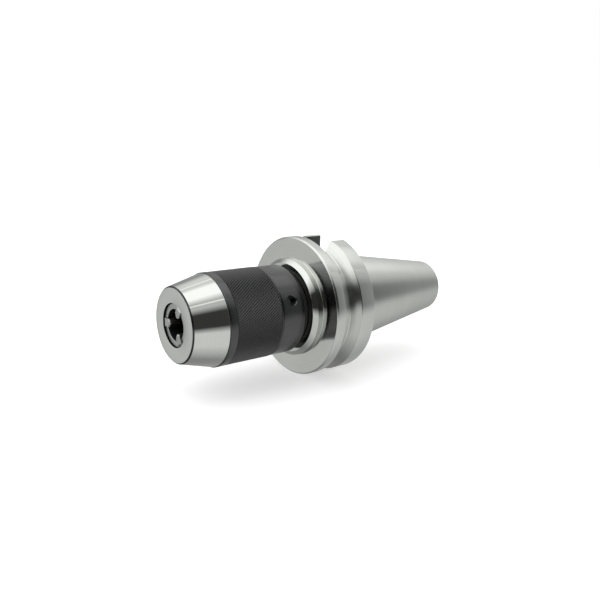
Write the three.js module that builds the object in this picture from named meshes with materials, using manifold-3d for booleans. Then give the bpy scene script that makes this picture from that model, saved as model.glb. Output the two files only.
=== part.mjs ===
// Keyless three-jaw drill chuck made in one with a steep-taper (7:24, size 50) tool shank.
// Millimetres. The tool axis is X: the nose points to -X, the taper to +X, and the gauge plane
// of the taper is X = 0. +Z is up, and the two drive slots of the flange lie on +Z and -Z.
import * as THREE from 'three';
import { mergeVertices } from 'three/addons/utils/BufferGeometryUtils.js';
import Module from 'manifold-3d';

const wasm = await Module();
wasm.setup();

// ---------------------------------------------------------------- driving dimensions

const GAP = 0.3;                    // clearance between pieces that touch or seat
const TURN_GAP = 0.5;               // clearance where one piece turns round another
const HEAD_GAP = 0.4;               // clearance round the spindle's head
const END_PLAY = 0.5;               // spindle's play when it is fully forward
const EDGE = 0.6;                   // chamfer on turned edges

// Shank: taper, gripper flange, boss and neck
const TAPER_GAUGE_RADIUS = 34.925;
const TAPER_SLOPE = 7 / 48;         // radius lost for each millimetre of length
const TAPER_LENGTH = 101.8;
const TAPER_END_CHAMFER = 1.5;
const UNDERCUT_DEPTH = 0.6;         // relief between the taper and the flange
const FLANGE_SETBACK = 3;           // gauge plane to the back face of the flange
const FLANGE_RADIUS = 50;
const FLANGE_LENGTH = 35;
const FLANGE_CHAMFER = 1;
const BACK_LAND = 12.7;             // length of the land behind the gripper groove
const GROOVE_WIDTH = 15;            // at the flange's outer diameter
const GROOVE_FLOOR_RADIUS = 42.5;
const GROOVE_HALF_ANGLE = 30;       // degrees between a flank and a plane across the axis
const SLOT_WIDTH = 25.7;
const SLOT_FLOOR = 35.4;            // drive slot floor, from the axis
const SLOT_LENGTH = 25;             // from the back face, forwards
const SLOT_CHAMFER = 1.2;
const BOSS_RADIUS = 34.9;
const BOSS_LENGTH = 6.8;
const BOSS_BEVEL = [2.6, 3];        // axial and radial size of the bevel on the boss
const NECK_RADIUS = 23.7;
const NECK_LENGTH = 5.3;
const PULL_BORE = [12.5, 6.5];      // radius and depth of the pilot for the retention knob
const PULL_THREAD = [10.9, 47];     // radius and end depth of its thread hole

// Threaded core, which joins the chuck to the shank
const CORE_SPIGOT_RADIUS = 15.9;
const CORE_SPIGOT_LENGTH = 26.1;
const CORE_NECK_RADIUS = 17;
const CORE_FLANGE_RADIUS = 24.8;
const CORE_FLANGE_LENGTH = 3.5;
const CORE_THREAD_LENGTH = 15;
const LOCK_PIN_RADIUS = 2;
const LOCK_PIN_DEPTH = 1.3;         // how far a pin reaches into the core

// Thrust bearing
const BALL_COUNT = 14;
const BALL_RADIUS = 2.5;
const BALL_PITCH_RADIUS = 21.2;
const RACE_THICKNESS = 2.3;
const RACE_GROOVE_DEPTH = 0.5;
const CAGE_THICKNESS = 2;
const CAGE_RIM = 0.5;               // metal left outside the ball pockets

// Rear collar
const COLLAR_RADIUS = 31.2;
const COLLAR_LENGTH = 18;
const COLLAR_BORE_RADIUS = 25.5;
const COLLAR_SHOULDER = 2.8;        // thickness of the inner flange behind the bearing
const COLLAR_SPIGOT_LENGTH = 9.3;
const SPANNER_HOLE_RADIUS = 3.5;
const SPANNER_HOLE_DEPTH = 3.8;
const SPANNER_HOLE_SETBACK = 9.8;   // from the collar's rear face
const SPANNER_HOLE_ANGLES = [154.4, 34.4, -85.6];
const WIPER_SIZE = [1.6, 2];        // width and radial height of the wiper ring
const SEAL_RADIUS = 27.4;

// Knurled sleeve
const SLEEVE_RADIUS = 31.5;
const SLEEVE_LENGTH = 41;
const SLEEVE_BAND = 5.6;            // smooth band at the front
const KNURL_DROP = 0.2;             // mean depth of the knurl below the band
const SLEEVE_WALL = 3.5;            // over the hood's spigot
const SLEEVE_SHOULDER_RADIUS = 25;
const SPIGOT_WALL = 2.4;            // wall of the collar's spigot

// Nose hood and jaw guide
const HOOD_LENGTH = 22.85;
const HOOD_FRONT_RADIUS = 24.2;
const HOOD_BEVEL = [0.9, 1];        // axial and radial size of the nose bevel
const HOOD_SHOULDER_RADIUS = 31;
const HOOD_SPIGOT_LENGTH = 13;
const MOUTH_RADIUS = 14.3;
const GUIDE_SETBACK = 1.3;          // guide face behind the nose face
const GUIDE_BORE_RADIUS = 10.4;
const GUIDE_PLAY = 0.6;             // between the guide and the hood's taper
const GUIDE_FLANGE_LENGTH = 4;
const GUIDE_FLANGE_RIM = 3.2;       // ring left outside the jaw slots

// Jaws
const JAW_ANGLE = THREE.MathUtils.degToRad(16);
const JAW_PHASES = [-3, 117, -123];
const JAW_WIDTH = 5.4;
const JAW_SETBACK = 0.4;            // jaw ends behind the nose face, as drawn
const JAW_GRIP_LENGTH = 29;
const JAW_TIP_FLAT = 1;
const JAW_TIP_ANGLE = 50;           // degrees of each flank from the jaw's mid plane
const JAW_NOSE_CHAMFER = 1;
const JAW_BACK_CHAMFER = [1, 1.3];  // axial and radial size of the chamfer on a jaw's back
const JAW_TAIL_RADII = [9, 20];     // inner and outer reach of the tail, as drawn
const JAW_TEE_REACH = 18;           // outer reach of the tee head
const TEE_WIDTH = 8.6;
const TEE_THICKNESS = 3;
const TOOL_RANGE = [1, 20];         // smallest and largest tool diameter
const TOOL_DRAWN = 11.6;            // opening between the jaws, as drawn

// Drive spindle
const SPINDLE_HEAD_SETBACK = 40.9;  // head face behind the nose face, as drawn
const SPINDLE_HEAD_RADIUS = 17;
const SPINDLE_LIP = 3.3;            // metal in front of the tee slots
const SPINDLE_FLOOR = 3.1;          // metal behind them
const SPINDLE_SCREW_LENGTH = 46;
const SPINDLE_BORE_RADIUS = 3;
const THREAD_LEAD = 4;              // left-hand
const THREAD_RADIUS = 9;
const THREAD_DEPTH = 1.1;
const THREAD_FLANK = 0.2;           // share of the lead taken by each flank
const THREAD_CREST = 0.3;
const THREAD_CREST_SPACE = 0.38;    // share of the lead left for a crest in the core's thread
const THREAD_CLEARANCE = 0.35;
const THREAD_RUN_OUT = [0.7, 1.2];  // turns of a thread rod past each end of its length

// Facets round a full turn
const FACETS_OUTER = 48;
const FACETS_INNER = 32;
const FACETS_THREAD = 16;
const FACETS_POCKET = 10;
const FACETS_PIN = 12;
const FACETS_HOLE = 20;

// ---------------------------------------------------------------- stations along X

const flangeBack = -FLANGE_SETBACK;
const flangeFront = flangeBack - FLANGE_LENGTH;
const grooveBack = flangeBack - BACK_LAND;
const grooveFront = grooveBack - GROOVE_WIDTH;
const bossFront = flangeFront - BOSS_LENGTH;
const neckFront = bossFront - NECK_LENGTH;
const collarRear = neckFront - GAP;
const collarFront = collarRear - COLLAR_LENGTH;
const sleeveRear = collarFront - GAP;
const sleeveFront = sleeveRear - SLEEVE_LENGTH;
const hoodShoulder = sleeveFront - GAP;
const noseFace = hoodShoulder - HOOD_LENGTH;
const hoodRear = hoodShoulder + HOOD_SPIGOT_LENGTH;
const guideFlangeFront = hoodRear + GAP;
const guideRear = guideFlangeFront + GUIDE_FLANGE_LENGTH;
const sleeveShoulder = guideRear + GAP;
const collarSpigotFront = collarFront - COLLAR_SPIGOT_LENGTH;
const collarShoulder = collarRear - COLLAR_SHOULDER;
const raceSpacing = 2 * (BALL_RADIUS + GAP - RACE_GROOVE_DEPTH);
const rearRaceFront = collarShoulder - GAP - RACE_THICKNESS;
const ballCentre = rearRaceFront - raceSpacing / 2;
const frontRaceRear = rearRaceFront - raceSpacing;
const coreFlangeRear = frontRaceRear - RACE_THICKNESS - GAP;
const coreFront = coreFlangeRear - CORE_FLANGE_LENGTH;
const coreSpigotFront = neckFront - GAP;
const coreRear = coreSpigotFront + GAP + CORE_SPIGOT_LENGTH;
const spindleFace = noseFace + SPINDLE_HEAD_SETBACK;
const teeFront = spindleFace + SPINDLE_LIP + GAP;
const teeRear = teeFront + TEE_THICKNESS;
const spindleShoulder = teeRear + GAP + SPINDLE_FLOOR;
const spindleRear = spindleShoulder + SPINDLE_SCREW_LENGTH;
const closeTravel = (TOOL_DRAWN - TOOL_RANGE[0]) / 2 / Math.tan(JAW_ANGLE);
const openTravel = (TOOL_RANGE[1] - TOOL_DRAWN) / 2 / Math.tan(JAW_ANGLE);
const sleeveBoreRadius = SLEEVE_RADIUS - SLEEVE_WALL;
const collarSpigotRadius = COLLAR_BORE_RADIUS + SPIGOT_WALL;
const pinStation = (bossFront + neckFront) / 2;

/** Radius of the hood's inner taper at station x, on which the jaws' backs slide. */
function taperRadius(x) {
  return MOUTH_RADIUS + (x - noseFace) * Math.tan(JAW_ANGLE);
}

// ---------------------------------------------------------------- geometry helpers

/** A ring or shaft turned about X from a closed outline of [x, radius] points. */
function turned(outline, facets = FACETS_OUTER) {
  const loop = [...outline, outline[0]];
  let area = 0;
  for (let i = 0; i < outline.length; i += 1) {
    area += loop[i][0] * loop[i + 1][1] - loop[i + 1][0] * loop[i][1];
  }
  const ordered = area > 0 ? loop.reverse() : loop;
  const points = ordered.map(([x, radius]) => new THREE.Vector2(radius, x));
  return new THREE.LatheGeometry(points, facets).rotateZ(-Math.PI / 2);
}

/** A cylinder along the direction at the given angle round X, between two radii. */
function radialPin(radius, x, angle, inner, outer, facets = FACETS_PIN) {
  const pin = new THREE.CylinderGeometry(radius, radius, outer - inner, facets);
  pin.rotateX(Math.PI / 2).translate(x, 0, (inner + outer) / 2);
  return pin.rotateX(toRotation(angle));
}

/** Rotation about X that brings +Z to the given angle, measured from +Y towards +Z. */
function toRotation(angle) {
  return THREE.MathUtils.degToRad(angle - 90);
}

/** A prism along X from one station to another, from an outline drawn in Y and Z. */
function prism(outline, from, to) {
  const body = new THREE.ExtrudeGeometry(outline, { depth: to - from, bevelEnabled: false });
  return body.rotateX(Math.PI / 2).rotateZ(Math.PI / 2).translate(from, 0, 0);
}

/** A box spanning [min, max] on each axis. */
function block(x, y, z) {
  const box = new THREE.BoxGeometry(x[1] - x[0], y[1] - y[0], z[1] - z[0]);
  return box.translate((x[0] + x[1]) / 2, (y[0] + y[1]) / 2, (z[0] + z[1]) / 2);
}

/** Closed geometry as a solid for joining and cutting. */
function solid(geometry) {
  const bare = geometry.clone();
  bare.deleteAttribute('normal');
  bare.deleteAttribute('uv');
  const merged = mergeVertices(bare, 1e-5);
  const corners = Array.from(merged.index.array);
  const faces = corners.filter((_, i) => {
    const [a, b, c] = corners.slice(i - (i % 3), i - (i % 3) + 3);
    return a !== b && b !== c && c !== a;
  });
  const mesh = new wasm.Mesh({
    numProp: 3,
    vertProperties: new Float32Array(merged.attributes.position.array),
    triVerts: new Uint32Array(faces),
  });
  return new wasm.Manifold(mesh);
}

/** A solid back as geometry. */
function geometryOf(body) {
  const { vertProperties, triVerts } = body.getMesh();
  const geometry = new THREE.BufferGeometry();
  geometry.setAttribute('position', new THREE.BufferAttribute(vertProperties, 3));
  geometry.setIndex(new THREE.BufferAttribute(triVerts, 1));
  geometry.computeVertexNormals();
  return geometry;
}

/** One geometry with others taken away. */
function cut(geometry, ...tools) {
  let body = solid(geometry);
  for (const tool of tools) {
    body = body.subtract(solid(tool));
  }
  return geometryOf(body);
}

/**
 * A left-hand screw thread about X as a closed rod. Each column of points runs along the rod at
 * one angle, and the next column is the same one moved back by its share of the lead.
 */
function threadRod(x0, x1, crestRadius, rootRadius, crestShare) {
  const half = crestShare / 2;
  const stops = [
    [-half, crestRadius],
    [half, crestRadius],
    [half + THREAD_FLANK, rootRadius],
    [1 - half - THREAD_FLANK, rootRadius],
  ];
  const start = THREAD_LEAD * Math.floor(x0 / THREAD_LEAD - THREAD_RUN_OUT[0]);
  const turns = Math.ceil((x1 - start) / THREAD_LEAD + THREAD_RUN_OUT[1]);
  const rows = turns * stops.length + 1;
  const positions = [];
  for (let column = 0; column < FACETS_THREAD; column += 1) {
    const turn = column / FACETS_THREAD;
    const angle = turn * 2 * Math.PI;
    for (let row = 0; row < rows; row += 1) {
      const [share, radius] = stops[row % stops.length];
      const x = start + THREAD_LEAD * (Math.floor(row / stops.length) + share - turn);
      positions.push(x, radius * Math.cos(angle), radius * Math.sin(angle));
    }
  }
  positions.push(start - THREAD_LEAD, 0, 0, start + THREAD_LEAD * (turns + 1), 0, 0);
  const geometry = new THREE.BufferGeometry();
  geometry.setAttribute('position', new THREE.Float32BufferAttribute(positions, 3));
  geometry.setIndex(threadFaces(rows, stops.length));
  return geometry;
}

/** Triangles of the thread rod: its walls, the seam one lead on, and a fan at each end. */
function threadFaces(rows, step) {
  const last = FACETS_THREAD - 1;
  const at = (column, row) => column * rows + row;
  const faces = [];
  const quad = (a, b, c, d) => faces.push(a, d, b, b, d, c);
  for (let column = 0; column < last; column += 1) {
    for (let row = 0; row < rows - 1; row += 1) {
      quad(at(column, row), at(column, row + 1), at(column + 1, row + 1), at(column + 1, row));
    }
  }
  for (let row = step; row < rows - 1; row += 1) {
    quad(at(last, row), at(last, row + 1), at(0, row + 1 - step), at(0, row - step));
  }
  const low = [];
  const high = [];
  for (let column = 0; column <= last; column += 1) {
    low.push(at(column, 0));
    high.push(at(column, rows - 1));
  }
  for (let row = 1; row <= step; row += 1) {
    low.push(at(last, row));
    high.push(at(0, rows - 1 - step + row - 1));
  }
  fan(faces, low, FACETS_THREAD * rows, false);
  fan(faces, high, FACETS_THREAD * rows + 1, true);
  return faces;
}

/** Triangles from each edge of a loop to one point. */
function fan(faces, loop, centre, flipped) {
  loop.forEach((from, i) => {
    const to = loop[(i + 1) % loop.length];
    faces.push(...(flipped ? [from, to, centre] : [to, from, centre]));
  });
}

// ---------------------------------------------------------------- shank pieces

function taperShank() {
  const smallRadius = TAPER_GAUGE_RADIUS - TAPER_LENGTH * TAPER_SLOPE;
  const undercut = TAPER_GAUGE_RADIUS - UNDERCUT_DEPTH;
  const flank = (FLANGE_RADIUS - GROOVE_FLOOR_RADIUS) * Math.tan(radians(GROOVE_HALF_ANGLE));
  const c = FLANGE_CHAMFER;
  const coreBore = CORE_SPIGOT_RADIUS + GAP;
  const screwBore = THREAD_RADIUS + 2 * THREAD_CLEARANCE;
  const screwPocket = Math.max(coreRear + GAP, spindleRear + openTravel + 1);
  const body = turned([
    [neckFront, coreBore],
    [neckFront, NECK_RADIUS],
    [bossFront, NECK_RADIUS],
    [bossFront, BOSS_RADIUS - BOSS_BEVEL[1]],
    [bossFront + BOSS_BEVEL[0], BOSS_RADIUS],
    [flangeFront, BOSS_RADIUS],
    [flangeFront, FLANGE_RADIUS - c],
    [flangeFront + c, FLANGE_RADIUS],
    [grooveFront, FLANGE_RADIUS],
    [grooveFront + flank, GROOVE_FLOOR_RADIUS],
    [grooveBack - flank, GROOVE_FLOOR_RADIUS],
    [grooveBack, FLANGE_RADIUS],
    [flangeBack - c, FLANGE_RADIUS],
    [flangeBack, FLANGE_RADIUS - c],
    [flangeBack, undercut],
    [flangeBack / 2, undercut],
    [0, TAPER_GAUGE_RADIUS],
    [TAPER_LENGTH - TAPER_END_CHAMFER, smallRadius + TAPER_END_CHAMFER * TAPER_SLOPE],
    [TAPER_LENGTH, smallRadius - TAPER_END_CHAMFER],
    [TAPER_LENGTH, PULL_BORE[0]],
    [TAPER_LENGTH - PULL_BORE[1], PULL_BORE[0]],
    [TAPER_LENGTH - PULL_BORE[1], PULL_THREAD[0]],
    [TAPER_LENGTH - PULL_THREAD[1], PULL_THREAD[0]],
    [TAPER_LENGTH - PULL_THREAD[1], 0],
    [screwPocket, 0],
    [screwPocket, screwBore],
    [coreRear + GAP, screwBore],
    [coreRear + GAP, coreBore],
  ]);
  return cut(body, ...driveSlots(), ...lockPinHoles());
}

/** Cutters for the two drive slots, each with a chamfered mouth. */
function driveSlots() {
  const half = SLOT_WIDTH / 2;
  const top = FLANGE_RADIUS + 1;
  const chord = Math.sqrt(FLANGE_RADIUS ** 2 - half ** 2);
  const outline = new THREE.Shape();
  outline.moveTo(-half, SLOT_FLOOR);
  outline.lineTo(half, SLOT_FLOOR);
  outline.lineTo(half, chord - SLOT_CHAMFER);
  outline.lineTo(half + SLOT_CHAMFER + top - chord, top);
  outline.lineTo(-half - SLOT_CHAMFER - top + chord, top);
  outline.lineTo(-half, chord - SLOT_CHAMFER);
  const cutter = prism(outline, flangeBack - SLOT_LENGTH, flangeBack + 1);
  return [cutter, cutter.clone().rotateX(Math.PI)];
}

/** Cutters for the holes of the two core lock pins. */
function lockPinHoles() {
  const inner = CORE_SPIGOT_RADIUS - LOCK_PIN_DEPTH - GAP;
  return [90, -90].map((angle) => (
    radialPin(LOCK_PIN_RADIUS + GAP, pinStation, angle, inner, NECK_RADIUS + 1)));
}

function lockPin(angle) {
  const inner = CORE_SPIGOT_RADIUS - LOCK_PIN_DEPTH;
  return radialPin(LOCK_PIN_RADIUS, pinStation, angle, inner, NECK_RADIUS - GAP);
}

function coreBody() {
  const relief = THREAD_RADIUS + THREAD_CLEARANCE;
  const minor = relief - THREAD_DEPTH;
  const threadEnd = coreFront + CORE_THREAD_LENGTH;
  const body = turned([
    [coreFront, minor],
    [coreFront, CORE_FLANGE_RADIUS - EDGE],
    [coreFront + EDGE, CORE_FLANGE_RADIUS],
    [coreFlangeRear, CORE_FLANGE_RADIUS],
    [coreFlangeRear, CORE_NECK_RADIUS],
    [coreSpigotFront, CORE_NECK_RADIUS],
    [coreSpigotFront, CORE_SPIGOT_RADIUS],
    [coreRear - EDGE, CORE_SPIGOT_RADIUS],
    [coreRear, CORE_SPIGOT_RADIUS - EDGE],
    [coreRear, relief],
    [threadEnd, relief],
    [threadEnd, minor],
  ], FACETS_INNER);
  const thread = threadRod(coreFront, threadEnd, relief, minor - THREAD_CLEARANCE, THREAD_CREST_SPACE);
  return cut(body, thread, ...lockPinHoles());
}

function dustSeal() {
  return turned([
    [neckFront, NECK_RADIUS + GAP],
    [neckFront, SEAL_RADIUS - EDGE],
    [neckFront + EDGE, SEAL_RADIUS],
    [bossFront - GAP, SEAL_RADIUS],
    [bossFront - GAP, NECK_RADIUS + GAP],
  ]);
}

// ---------------------------------------------------------------- thrust bearing

/** A bearing washer with a ball groove. Side is 1 where its grooved face looks to +X. */
function bearingRace(face, side, boreRadius, rimRadius) {
  const back = face - side * RACE_THICKNESS;
  const reach = Math.sqrt(BALL_RADIUS ** 2 - (BALL_RADIUS - RACE_GROOVE_DEPTH) ** 2);
  const groove = [-reach, -reach / 2, 0, reach / 2, reach].map((offset) => {
    const depth = RACE_GROOVE_DEPTH * (1 - (offset / reach) ** 2);
    return [face - side * depth, BALL_PITCH_RADIUS + offset];
  });
  return turned([[face, boreRadius], ...groove, [face, rimRadius], [back, rimRadius], [back, boreRadius]],
    FACETS_INNER);
}

function ballCage() {
  const reach = BALL_RADIUS + GAP + CAGE_RIM;
  const half = CAGE_THICKNESS / 2;
  const ring = turned([
    [ballCentre - half, BALL_PITCH_RADIUS - reach],
    [ballCentre - half, BALL_PITCH_RADIUS + reach],
    [ballCentre + half, BALL_PITCH_RADIUS + reach],
    [ballCentre + half, BALL_PITCH_RADIUS - reach],
  ], FACETS_INNER);
  const pocketRadius = (BALL_RADIUS + GAP) / Math.cos(Math.PI / FACETS_POCKET);
  const pockets = ballAngles().map((angle) => {
    const depth = 2 * CAGE_THICKNESS;
    const pocket = new THREE.CylinderGeometry(pocketRadius, pocketRadius, depth, FACETS_POCKET);
    return pocket.rotateZ(Math.PI / 2).translate(ballCentre, 0, BALL_PITCH_RADIUS).rotateX(angle);
  });
  return cut(ring, ...pockets);
}

function ballAngles() {
  return Array.from({ length: BALL_COUNT }, (_, i) => (2 * Math.PI * i) / BALL_COUNT);
}

// ---------------------------------------------------------------- turning sleeve

function rearCollar() {
  const rim = COLLAR_RADIUS;
  const shoulderBore = CORE_NECK_RADIUS + TURN_GAP;
  const wiperGroove = CORE_NECK_RADIUS + GAP + WIPER_SIZE[1] + GAP;
  const wiperHalf = WIPER_SIZE[0] / 2 + GAP;
  const wiperMid = collarRear - COLLAR_SHOULDER / 2;
  const body = turned([
    [collarSpigotFront, COLLAR_BORE_RADIUS],
    [collarSpigotFront, collarSpigotRadius],
    [collarFront, collarSpigotRadius],
    [collarFront, rim - EDGE],
    [collarFront + EDGE, rim],
    [collarRear - EDGE, rim],
    [collarRear, rim - EDGE],
    [collarRear, shoulderBore],
    [wiperMid + wiperHalf, shoulderBore],
    [wiperMid + wiperHalf, wiperGroove],
    [wiperMid - wiperHalf, wiperGroove],
    [wiperMid - wiperHalf, shoulderBore],
    [collarShoulder, shoulderBore],
    [collarShoulder, COLLAR_BORE_RADIUS],
  ]);
  const station = collarRear - SPANNER_HOLE_SETBACK;
  const holes = SPANNER_HOLE_ANGLES.map((angle) => (
    radialPin(SPANNER_HOLE_RADIUS, station, angle, rim - SPANNER_HOLE_DEPTH, rim + 1, FACETS_HOLE)));
  return cut(body, ...holes);
}

function wiperRing() {
  const mid = collarRear - COLLAR_SHOULDER / 2;
  const inner = CORE_NECK_RADIUS + GAP;
  const half = WIPER_SIZE[0] / 2;
  return turned([
    [mid - half, inner],
    [mid - half, inner + WIPER_SIZE[1]],
    [mid + half, inner + WIPER_SIZE[1]],
    [mid + half, inner],
  ], FACETS_INNER);
}

function knurledSleeve() {
  const rearBore = collarSpigotRadius + GAP;
  const knurl = SLEEVE_RADIUS - KNURL_DROP;
  return turned([
    [sleeveFront, sleeveBoreRadius],
    [sleeveFront, SLEEVE_RADIUS - EDGE],
    [sleeveFront + EDGE, SLEEVE_RADIUS],
    [sleeveFront + SLEEVE_BAND, SLEEVE_RADIUS],
    [sleeveFront + SLEEVE_BAND + KNURL_DROP, knurl],
    [sleeveRear - EDGE, knurl],
    [sleeveRear, knurl - EDGE],
    [sleeveRear, rearBore],
    [collarSpigotFront - GAP, rearBore],
    [collarSpigotFront - GAP, SLEEVE_SHOULDER_RADIUS],
    [sleeveShoulder, SLEEVE_SHOULDER_RADIUS],
    [sleeveShoulder, sleeveBoreRadius],
  ]);
}

function noseHood() {
  const spigot = sleeveBoreRadius - GAP;
  return turned([
    [noseFace, MOUTH_RADIUS],
    [noseFace, HOOD_FRONT_RADIUS],
    [noseFace + HOOD_BEVEL[0], HOOD_FRONT_RADIUS + HOOD_BEVEL[1]],
    [hoodShoulder, HOOD_SHOULDER_RADIUS],
    [hoodShoulder, spigot],
    [hoodRear, spigot],
    [hoodRear, taperRadius(hoodRear)],
  ]);
}

/** The slotted cone that carries the jaws, with its clamped flange. */
function jawGuide() {
  const front = noseFace + GUIDE_SETBACK;
  const rim = sleeveBoreRadius - GAP;
  const headBore = SPINDLE_HEAD_RADIUS + HEAD_GAP;
  const headStop = spindleFace - closeTravel - END_PLAY;
  const body = turned([
    [front, GUIDE_BORE_RADIUS],
    [front, taperRadius(front) - GUIDE_PLAY],
    [guideFlangeFront, taperRadius(guideFlangeFront) - GUIDE_PLAY],
    [guideFlangeFront, rim],
    [guideRear, rim],
    [guideRear, headBore],
    [headStop, headBore],
    [headStop, GUIDE_BORE_RADIUS],
  ]);
  const half = JAW_WIDTH / 2 + GAP;
  const slots = JAW_PHASES.map((phase) => {
    const slot = block([front - 1, guideRear + 1], [-half, half], [0, rim - GUIDE_FLANGE_RIM]);
    return slot.rotateX(toRotation(phase));
  });
  return cut(body, ...slots);
}

// ---------------------------------------------------------------- spindle and jaws

/** The spindle: a head with three tee slots on a left-hand screw. */
function driveSpindle() {
  const head = turned([
    [spindleFace, SPINDLE_BORE_RADIUS],
    [spindleFace, SPINDLE_HEAD_RADIUS - EDGE],
    [spindleFace + EDGE, SPINDLE_HEAD_RADIUS],
    [spindleShoulder, SPINDLE_HEAD_RADIUS],
    [spindleShoulder, SPINDLE_BORE_RADIUS],
  ], FACETS_INNER);
  const blank = turned([
    [spindleShoulder - 1, SPINDLE_BORE_RADIUS],
    [spindleShoulder - 1, THREAD_RADIUS + 1],
    [spindleRear - THREAD_DEPTH - 1, THREAD_RADIUS + 1],
    [spindleRear, THREAD_RADIUS - THREAD_DEPTH],
    [spindleRear, SPINDLE_BORE_RADIUS],
  ], FACETS_THREAD);
  const root = THREAD_RADIUS - THREAD_DEPTH;
  const thread = threadRod(spindleShoulder - 1, spindleRear, THREAD_RADIUS, root, THREAD_CREST);
  const screw = solid(blank).intersect(solid(thread));
  let body = solid(head).add(screw);
  for (const slot of teeSlots()) {
    body = body.subtract(solid(slot));
  }
  return geometryOf(body);
}

/** Cutters for the tee slots: a narrow mouth over a wide floor, from the centre to the rim. */
function teeSlots() {
  const mouth = JAW_WIDTH / 2 + GAP;
  const wide = TEE_WIDTH / 2 + GAP;
  const rim = [0, SPINDLE_HEAD_RADIUS + 1];
  return JAW_PHASES.flatMap((phase) => [
    block([spindleFace - 1, teeRear], [-mouth, mouth], rim).rotateX(toRotation(phase)),
    block([teeFront - GAP, teeRear + GAP], [-wide, wide], rim).rotateX(toRotation(phase)),
  ]);
}

/** One jaw, drawn standing on +Z: a wedge with a parallel grip face, and a tee head behind. */
function jaw() {
  const front = noseFace + JAW_SETBACK;
  const grip = TOOL_DRAWN / 2;
  const [tailInner, tailOuter] = JAW_TAIL_RADII;
  const [chamferLength, chamferDepth] = JAW_BACK_CHAMFER;
  const back = (x) => taperRadius(x) - GUIDE_PLAY;
  const bend = noseFace + (tailOuter + GUIDE_PLAY - MOUTH_RADIUS) / Math.tan(JAW_ANGLE);
  const side = new THREE.Shape();
  side.moveTo(front + JAW_NOSE_CHAMFER, grip);
  side.lineTo(front + JAW_GRIP_LENGTH, grip);
  side.lineTo(front + JAW_GRIP_LENGTH + tailInner - grip, tailInner);
  side.lineTo(teeRear, tailInner);
  side.lineTo(teeRear, tailOuter);
  side.lineTo(bend, tailOuter);
  side.lineTo(front + chamferLength, back(front + chamferLength));
  side.lineTo(front, back(front) - chamferDepth);
  side.lineTo(front, grip + JAW_NOSE_CHAMFER);
  const plate = new THREE.ExtrudeGeometry(side, { depth: JAW_WIDTH, bevelEnabled: false });
  plate.rotateX(Math.PI / 2).translate(0, JAW_WIDTH / 2, 0);
  const tee = block([teeFront, teeRear], [-TEE_WIDTH / 2, TEE_WIDTH / 2], [tailInner, JAW_TEE_REACH]);
  let body = solid(plate).add(solid(tee));
  for (const flank of jawFlanks(grip, front)) {
    body = body.subtract(solid(flank));
  }
  return geometryOf(body);
}

/** Cutters that bring the grip edge to a blunt vee, so that three jaws close on a thin tool. */
function jawFlanks(grip, front) {
  const reach = JAW_WIDTH;
  const lean = Math.tan(radians(JAW_TIP_ANGLE));
  return [1, -1].map((side) => {
    const edge = new THREE.Shape();
    edge.moveTo(side * (JAW_TIP_FLAT / 2 - lean), grip - 1);
    edge.lineTo(side * (JAW_TIP_FLAT / 2 + reach * lean), grip + reach);
    edge.lineTo(side * (JAW_TIP_FLAT / 2 + reach * lean), grip - 1);
    return prism(edge, front - 1, front + JAW_GRIP_LENGTH + JAW_TAIL_RADII[0]);
  });
}

function radians(degrees) {
  return THREE.MathUtils.degToRad(degrees);
}

// ---------------------------------------------------------------- materials and assembly

function finish(color, roughness, metalness) {
  return new THREE.MeshStandardMaterial({ color, roughness, metalness });
}

const FINISHES = {
  ground: () => finish(0xb9b9b4, 0.28, 1),
  polished: () => finish(0xd0d0cc, 0.18, 1),
  oxide: () => finish(0x2a2b2b, 0.38, 0.8),
  knurl: () => finish(0x1f2020, 0.5, 0.8),
  hardened: () => finish(0x8d8e8c, 0.35, 1),
  plain: () => finish(0x9a9a96, 0.45, 1),
  bearing: () => finish(0xd6d8d8, 0.1, 1),
  brass: () => finish(0xb08d4a, 0.4, 1),
  rubber: () => finish(0x111111, 0.8, 0),
};

const chuck = new THREE.Group();

function place(name, geometry, look, rotation = 0) {
  const mesh = new THREE.Mesh(geometry, FINISHES[look]());
  mesh.name = name;
  mesh.rotation.x = rotation;
  chuck.add(mesh);
  return mesh;
}

place('taper_shank', taperShank(), 'ground');
place('core_body', coreBody(), 'plain');
place('core_lock_pin_1', lockPin(90), 'hardened');
place('core_lock_pin_2', lockPin(-90), 'hardened');
place('dust_seal', dustSeal(), 'rubber');
const frontRace = bearingRace(frontRaceRear, 1, CORE_NECK_RADIUS + GAP, CORE_FLANGE_RADIUS);
const rearRaceBore = CORE_NECK_RADIUS + 3 * GAP;
const rearRace = bearingRace(rearRaceFront, -1, rearRaceBore, COLLAR_BORE_RADIUS - GAP);
place('bearing_race_front', frontRace, 'bearing');
place('bearing_race_rear', rearRace, 'bearing');
place('ball_cage', ballCage(), 'brass');
ballAngles().forEach((angle, i) => {
  const ball = new THREE.IcosahedronGeometry(BALL_RADIUS, 1).translate(ballCentre, 0, BALL_PITCH_RADIUS);
  place(`bearing_ball_${String(i + 1).padStart(2, '0')}`, ball, 'bearing', angle);
});
place('rear_collar', rearCollar(), 'oxide');
place('wiper_ring', wiperRing(), 'rubber');
place('knurled_sleeve', knurledSleeve(), 'knurl');
place('nose_hood', noseHood(), 'polished');
place('jaw_guide', jawGuide(), 'hardened');
place('drive_spindle', driveSpindle(), 'hardened');
JAW_PHASES.forEach((phase, i) => {
  place(`jaw_${i + 1}`, jaw(), 'hardened', toRotation(phase));
});

export default chuck;
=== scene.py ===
"""Keyless three-jaw drill chuck on a steep-taper tool shank, built piece by piece.

The tool axis is X, with the nose towards -X and the taper towards +X. Z is up.
"""
from math import cos, pi, radians, sin, sqrt, tan

import bmesh
import bpy
import numpy as np
from bpy.props import FloatProperty, FloatVectorProperty, IntProperty, PointerProperty
from mathutils import Matrix, Vector


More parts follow.
